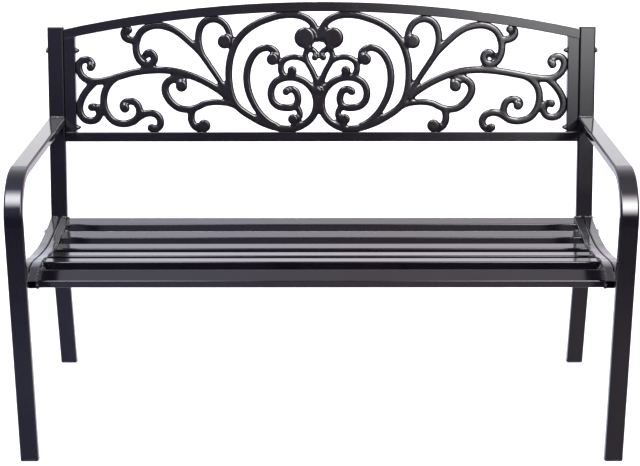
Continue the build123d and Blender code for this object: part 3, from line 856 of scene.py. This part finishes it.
@dataclass
class BackPanel:
    """The panel between the posts: its welded frame and the cast scrolls in it."""

    tube: float = metres(22.0)
    crown: float = metres(300.6)
    spring: float = metres(243.0)
    half_depth: float = metres(6.4)
    ball_rise: float = metres(2.5)
    skin: float = metres(1.4)
    voxel: float = metres(2.2)
    point_spacing: float = metres(2.0)
    bar_sides: int = 28
    bar_flatness: float = 8.0
    ball_flatness: float = 10.0
    corner_weld: Weld = Weld(metres(1.1))

    def __post_init__(self) -> None:
        """Work out the opening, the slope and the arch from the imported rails."""
        low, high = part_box("back_bottom_rail")
        self.base = np.array((low + high) / 2)
        self.half_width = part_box("back_upright_right")[0].x
        rise = self.crown - self.spring
        self.arch_radius = (self.half_width**2 + rise**2) / (2 * rise)
        self.slope = np.array([0.0, math.sin(RECLINE), math.cos(RECLINE)])
        self.front = -INTO_POST

    def dress(self, coat: bpy.types.Material) -> None:
        """Finish the tubes of the panel's frame."""
        uprights = [f"back_upright_{side.word}" for side in Side]
        dress_nodes(["back_top_rail", "back_bottom_rail", *uprights], coat)

    def make_welds(self, coat: bpy.types.Material) -> bpy.types.Object:
        """Lay the beads at the uprights' ends, the upper ones square to the arch.

        Args:
            coat: Material of the beads.

        Returns:
            The finished piece.
        """
        lean = math.asin((self.half_width + self.tube / 2) / self.arch_radius)
        beads = []
        for side in Side:
            node = f"back_upright_{side.word}"
            top = self.slope * math.cos(lean) + side.value * ACROSS * math.sin(lean)
            beads.append(self.corner_weld.round_end(node, top, 1.3 * side.value))
            beads.append(self.corner_weld.round_end(node, -self.slope, 2.9 * side.value))
        return finished(new_piece("panel_welds", joined(beads)), coat, "panel_steel")

    def drawing_points(self, shares: np.ndarray, side: Side) -> np.ndarray:
        """Turn places in a half's drawing into places in the opening.

        Args:
            shares: Across and up, as shares of the opening.
            side: The half.

        Returns:
            Across, up from the bottom rail's underside, and out, which is zero.
        """
        if side is Side.LEFT:
            drift = drift_at(LEFT_DRIFT, shares[:, 0])
        else:
            start, stop = DRIFT_BLEND
            blend = np.clip((shares[:, 1:] - start) / (stop - start), 0, 1)
            low, high = (drift_at(table, shares[:, 0]) for table in (RIGHT_LOW_DRIFT, RIGHT_HIGH_DRIFT))
            drift = low * (1 - blend) + high * blend
        across, up = (shares + drift).T
        rise = self.tube + up * (self.crown - self.tube)
        return np.stack([side.value * across * self.half_width, rise, 0 * rise], axis=1)

    def bar_surface(self, bar: Bar, side: Side) -> Surface:
        """Surface of one scroll bar, its width eased from end to middle to end.

        Args:
            bar: The bar.
            side: The half it is in.

        Returns:
            Vertices and quads, in the opening.
        """
        line = smooth_line(self.drawing_points(np.array(bar.shares), side), self.point_spacing)
        widths = np.interp(np.linspace(0, 2, len(line)), [0, 1, 2], [metres(w) for w in bar.widths])
        depths = np.full(len(line), self.half_depth)
        half = widths / 2 + self.skin
        return bar_along(line, UP, half, depths, self.bar_sides, flatness=self.bar_flatness)

    def kept_in_opening(self, flat: np.ndarray) -> np.ndarray:
        """Flatten what would reach past the opening against the frame round it.

        Across is held within the uprights and up within the bottom rail and the top rail's arc.

        Args:
            flat: Points, as across, up from the bottom rail's underside, and out.

        Returns:
            The points as they are held.
        """
        held = flat.copy()
        held[:, 0] = np.clip(held[:, 0], -self.half_width, self.half_width)
        arc = self.crown - self.arch_radius + np.sqrt(self.arch_radius**2 - held[:, 0] ** 2)
        held[:, 1] = np.clip(held[:, 1], self.tube, arc)
        return held

    def in_place(self, flat: np.ndarray) -> np.ndarray:
        """Turn points (across, up from the bottom rail's underside, out) into the bench's frame.

        A point goes up the slope from the middle of the bottom rail and out towards the front.

        Args:
            flat: The points.

        Returns:
            The same points in the bench's frame.
        """
        rise = flat[:, 1:2] - self.tube / 2
        return self.base + flat[:, :1] * ACROSS + rise * self.slope + flat[:, 2:] * self.front

    def make_scrolls(self, enamel: bpy.types.Material) -> bpy.types.Object:
        """Build the cast scrolls: oval bars and balls fused into one skin.

        Args:
            enamel: Material of the casting.

        Returns:
            The finished piece.
        """
        parts = []
        for side in Side:
            parts += [self.bar_surface(bar, side) for bar in SCROLL_BARS]
            for across, up, radius in BALLS:
                centre = self.drawing_points(np.array([[across, up]]), side)[0]
                size = metres(radius) + self.skin / 2
                rise = self.half_depth + self.ball_rise
                parts.append(flat_ball(centre, size, rise, self.ball_flatness))
        rough = new_piece("scrolls_unfused", joined(parts))
        fuse = rough.modifiers.new("fuse", "REMESH")
        fuse.mode, fuse.voxel_size = "VOXEL", self.voxel
        ease = rough.modifiers.new("ease", "SMOOTH")
        ease.factor, ease.iterations = 0.5, 1
        skin = bpy.data.meshes.new_from_object(rough.evaluated_get(bpy.context.evaluated_depsgraph_get()))
        bpy.data.objects.remove(rough)
        places = np.empty(len(skin.vertices) * 3)
        skin.vertices.foreach_get("co", places)
        flat = self.kept_in_opening(places.reshape(-1, 3))
        skin.vertices.foreach_set("co", self.in_place(flat).ravel())
        skin.shade_smooth()
        skin.name = "cast_scrolls"
        piece = bpy.data.objects.new("cast_scrolls", skin)
        bpy.context.scene.collection.objects.link(piece)
        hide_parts("scroll_casting")
        return finished(piece, enamel, "scroll_iron")


def dress_fasteners(blacked: bpy.types.Material) -> None:
    """Finish the bolts, washers and cap nuts of the seat and the panel."""
    kinds = ("bolts", "washers", "cap_nuts")
    dress_nodes([f"{place}_{kind}" for place in ("seat", "panel") for kind in kinds], blacked)


# The room


@dataclass(frozen=True)
class Lamp:
    """Large soft lamp in front of the bench, given by the directions that it fills.

    Each band goes from the cosine where the lamp begins to where it is full, and from where it
    is still full to where it has ended.
    """

    colour: str
    radiance: float
    across: tuple[float, float, float, float]
    height: tuple[float, float, float, float]


@dataclass(frozen=True)
class Backdrop:
    """Half of the room: its radiance at sines of the height of the view, and its tints."""

    marks: tuple[tuple[float, float], ...]
    left_tint: tuple[float, float, float]
    right_tint: tuple[float, float, float]
    brightest: float = 2.2

    def make(
        self, tree: bpy.types.NodeTree, height: bpy.types.NodeSocket, side: bpy.types.NodeSocket
    ) -> bpy.types.NodeSocket:
        """Build the ramp by height, tinted by side.

        Args:
            tree: The world's node tree.
            height: Sine of the height of the view, from zero straight down to one straight up.
            side: Zero at the bench's left end, one past its middle.

        Returns:
            The colour, over the brightest radiance.
        """
        ramp = add_node(tree, "ValToRGB", {}, {"Fac": height})
        elements = ramp.color_ramp.elements
        while len(elements) < len(self.marks):
            elements.new(0.5)
        for element, (sine, radiance) in zip(elements, self.marks):
            element.position = (sine + 1) / 2
            element.color = (*[radiance / self.brightest] * 3, 1)
        tint = add_node(
            tree, "Mix", {"data_type": "RGBA"}, {0: side, 6: (*self.left_tint, 1), 7: (*self.right_tint, 1)}
        )
        tinted = add_node(
            tree,
            "Mix",
            {"data_type": "RGBA", "blend_type": "MULTIPLY"},
            {0: 1.0, 6: ramp.outputs[0], 7: tint.outputs[2]},
        )
        return tinted.outputs[2]


@dataclass
class Studio:
    """White room with two lamps in front, and the camera at the photograph's place.

    The bands are cosines between the view and straight back or straight right, from where a
    change begins to where it is done.
    """

    camera_across: float = metres(4.4)
    camera_back: float = metres(3147.6)
    camera_height: float = metres(1464.4)
    pitch: float = math.radians(18.64)
    yaw: float = math.radians(0.138)
    roll: float = math.radians(-0.079)
    focal_share: float = 1495.8 / 640
    sensor: float = 36.0
    view_reach: float = 100.0
    floor_reach: float = 30.0
    floor_colour: str = "f6f6f6"
    floor_roughness: float = 0.9
    floor_gloss: float = 0.1
    overhead_size: float = 5.0
    overhead_watts: float = 60.0
    overhead_place: tuple[float, float, float] = (0.0, 0.6, 4.2)
    card_colour: str = "fbfaff"
    card_radiance: float = 2.3
    card_across: tuple[float, float] = (0.76, 1.1)
    card_heights: tuple[float, float] = (0.74, 0.96)
    card_back: float = 1.1
    behind_band: tuple[float, float] = (-0.25, 0.25)
    facing_band: tuple[float, float] = (-0.2, -0.35)
    right_band: tuple[float, float] = (-0.2, 0.02)
    lamps: tuple[Lamp, ...] = (
        Lamp("fbfbff", 20.0, (-0.34, -0.28, -0.12, -0.04), (0.44, 0.74, 0.78, 0.97)),
        Lamp("ffffff", 27.0, (0.02, 0.18, 0.26, 0.34), (0.12, 0.52, 0.53, 0.90)),
    )
    behind: Backdrop = Backdrop(
        (
            (-1.0, 1.2), (-0.3, 1.4), (0.06, 1.48), (0.23, 1.52), (0.43, 1.72), (0.53, 2.0),
            (0.60, 1.9), (0.71, 1.5), (0.81, 1.2), (0.87, 1.08), (0.95, 0.8), (1.0, 0.9),
        ),
        (0.96, 0.98, 1.12),
        (1.02, 0.95, 1.06),
    )
    ahead: Backdrop = Backdrop(
        (
            (-1.0, 0.8), (-0.87, 0.72), (-0.54, 0.58), (-0.44, 0.5), (-0.385, 0.62), (-0.355, 0.32),
            (-0.32, 0.2), (-0.2, 0.12), (0.0, 0.12), (0.15, 0.25), (0.24, 0.5), (0.37, 0.53),
            (0.5, 0.6), (0.75, 1.1),
        ),
        (0.78, 0.85, 1.4),
        (1.06, 0.94, 1.04),
    )

    def make_camera(self) -> None:
        """Set the camera: turned about Z, tipped down, then rolled."""
        data = bpy.data.cameras.new("camera")
        data.sensor_width = self.sensor
        data.lens = self.sensor * self.focal_share
        data.clip_end = self.view_reach
        camera = bpy.data.objects.new("camera", data)
        turn = Matrix.Rotation(self.yaw, 4, "Z") @ Matrix.Rotation(math.pi / 2 - self.pitch, 4, "X")
        place = Matrix.Translation((self.camera_across, -self.camera_back, self.camera_height))
        camera.matrix_world = place @ turn @ Matrix.Rotation(self.roll, 4, "Z")
        bpy.context.scene.collection.objects.link(camera)
        bpy.context.scene.camera = camera

    def make_floor(self) -> None:
        """Lay a wide pale floor under the feet, too matt to show in the paint."""
        side = self.floor_reach
        mesh = bpy.data.meshes.new("floor")
        corners = [(-side, -side, 0), (side, -side, 0), (side, side, 0), (-side, side, 0)]
        mesh.from_pydata(corners, [], [(0, 1, 2, 3)])
        floor = bpy.data.objects.new("floor", mesh)
        bpy.context.scene.collection.objects.link(floor)
        material = bpy.data.materials.new("white_floor")
        material.use_nodes = True
        shader = material.node_tree.nodes["Principled BSDF"]
        shader.inputs["Base Color"].default_value = linear(self.floor_colour)
        shader.inputs["Roughness"].default_value = self.floor_roughness
        shader.inputs["Specular IOR Level"].default_value = self.floor_gloss
        mesh.materials.append(material)
        floor.visible_glossy = False

    def band(
        self, tree: bpy.types.NodeTree, value: bpy.types.NodeSocket, edges: tuple[float, ...]
    ) -> bpy.types.NodeSocket:
        """Mask a band of values: one inside it and zero outside, with soft edges.

        Args:
            tree: The world's node tree.
            value: The value.
            edges: Where the band begins, is full, is still full and has ended.

        Returns:
            The mask.
        """
        rise, full, still, end = edges
        smooth = {"interpolation_type": "SMOOTHSTEP"}
        enter = add_node(tree, "MapRange", smooth, {0: value, 1: rise, 2: full})
        leave = add_node(tree, "MapRange", smooth, {0: value, 1: still, 2: end, 3: 1.0, 4: 0.0})
        return self.product(tree, enter.outputs[0], leave.outputs[0])

    def product(
        self, tree: bpy.types.NodeTree, *factors: bpy.types.NodeSocket | float
    ) -> bpy.types.NodeSocket:
        """Multiply several values.

        Args:
            tree: The world's node tree.
            factors: Output sockets or numbers, a socket first.

        Returns:
            The product.
        """
        result = factors[0]
        for factor in factors[1:]:
            node = add_node(tree, "Math", {"operation": "MULTIPLY"}, {0: result, 1: factor})
            result = node.outputs[0]
        return result

    def make_world(self) -> None:
        """Surround the bench: bright behind, dark in front, with the lamps there."""
        world = bpy.data.worlds.new("studio")
        world.use_nodes = True
        tree = world.node_tree
        tree.nodes.clear()
        way = add_node(tree, "TexCoord", {}, {}).outputs["Generated"]
        parts = add_node(tree, "SeparateXYZ", {}, {"Vector": way}).outputs
        share = add_node(tree, "MapRange", {}, {0: parts[2], 1: -1.0, 2: 1.0}).outputs[0]
        smooth = {"interpolation_type": "SMOOTHSTEP"}
        begin, done = self.behind_band
        back = add_node(tree, "MapRange", smooth, {0: parts[1], 1: begin, 2: done})
        begin, done = self.right_band
        side = add_node(tree, "MapRange", {}, {0: parts[0], 1: begin, 2: done}).outputs[0]
        room = add_node(
            tree,
            "Mix",
            {"data_type": "RGBA"},
            {
                0: back.outputs[0],
                6: self.ahead.make(tree, share, side),
                7: self.behind.make(tree, share, side),
            },
        )
        glow = add_node(
            tree, "Background", {}, {"Color": room.outputs[2], "Strength": self.behind.brightest}
        )
        begin, done = self.facing_band
        facing = add_node(tree, "MapRange", smooth, {0: parts[1], 1: begin, 2: done})
        for lamp in self.lamps:
            power = self.product(
                tree,
                facing.outputs[0],
                self.band(tree, parts[0], lamp.across),
                self.band(tree, parts[2], lamp.height),
                lamp.radiance,
            )
            light = add_node(tree, "Background", {}, {"Color": linear(lamp.colour), "Strength": power})
            glow = add_node(tree, "AddShader", {}, {0: glow.outputs[0], 1: light.outputs[0]})
        add_node(tree, "OutputWorld", {}, {"Surface": glow.outputs[0]})
        bpy.context.scene.world = world

    def make_overhead(self) -> None:
        """Hang one wide light that whitens the floor and doesn't show in the paint."""
        data = bpy.data.lights.new("overhead", "AREA")
        data.shape = "SQUARE"
        data.size = self.overhead_size
        data.energy = self.overhead_watts
        light = bpy.data.objects.new("overhead", data)
        light.location = self.overhead_place
        light.visible_glossy = False
        bpy.context.scene.collection.objects.link(light)

    def make_card(self, side: Side) -> None:
        """Stand a glowing card behind one end, where only the armrest's top mirrors it.

        Args:
            side: The bench's end.
        """
        near, far = (side.value * across for across in self.card_across)
        low, high = self.card_heights
        back = self.card_back
        mesh = bpy.data.meshes.new("card")
        corners = [(near, back, low), (far, back, low), (far, back, high), (near, back, high)]
        mesh.from_pydata(corners, [], [(0, 1, 2, 3)])
        material = bpy.data.materials.new("glowing_card")
        material.use_nodes = True
        tree = material.node_tree
        tree.nodes.clear()
        light = {"Color": linear(self.card_colour), "Strength": self.card_radiance}
        glow = add_node(tree, "Emission", {}, light)
        add_node(tree, "OutputMaterial", {}, {"Surface": glow.outputs[0]})
        mesh.materials.append(material)
        card = bpy.data.objects.new(f"card_{side.word}", mesh)
        card.visible_camera = card.visible_diffuse = card.visible_shadow = False
        bpy.context.scene.collection.objects.link(card)

    def make(self) -> None:
        """Build the whole room."""
        self.make_camera()
        self.make_floor()
        self.make_world()
        self.make_overhead()
        for side in Side:
            self.make_card(side)
        view = bpy.context.scene.view_settings
        view.view_transform = "Standard"
        view.look = "None"


def main() -> None:
    """Build the bench and its room, piece by piece."""
    logging.basicConfig(level=logging.INFO, format="%(name)s %(message)s")
    coat = PowderCoat().make()
    plastic = MouldedPlastic().make()
    for side in Side:
        end = SideFrame(side)
        end.dress(coat, plastic)
        end.make_welds(coat)
    seat = SeatFrame()
    seat.dress(coat, plastic)
    seat.make_welds(coat)
    panel = BackPanel()
    panel.dress(coat)
    panel.make_welds(coat)
    panel.make_scrolls(CastEnamel().make())
    dress_fasteners(BlackedSteel().make())
    Studio().make()


if __name__ == "__main__":
    main()
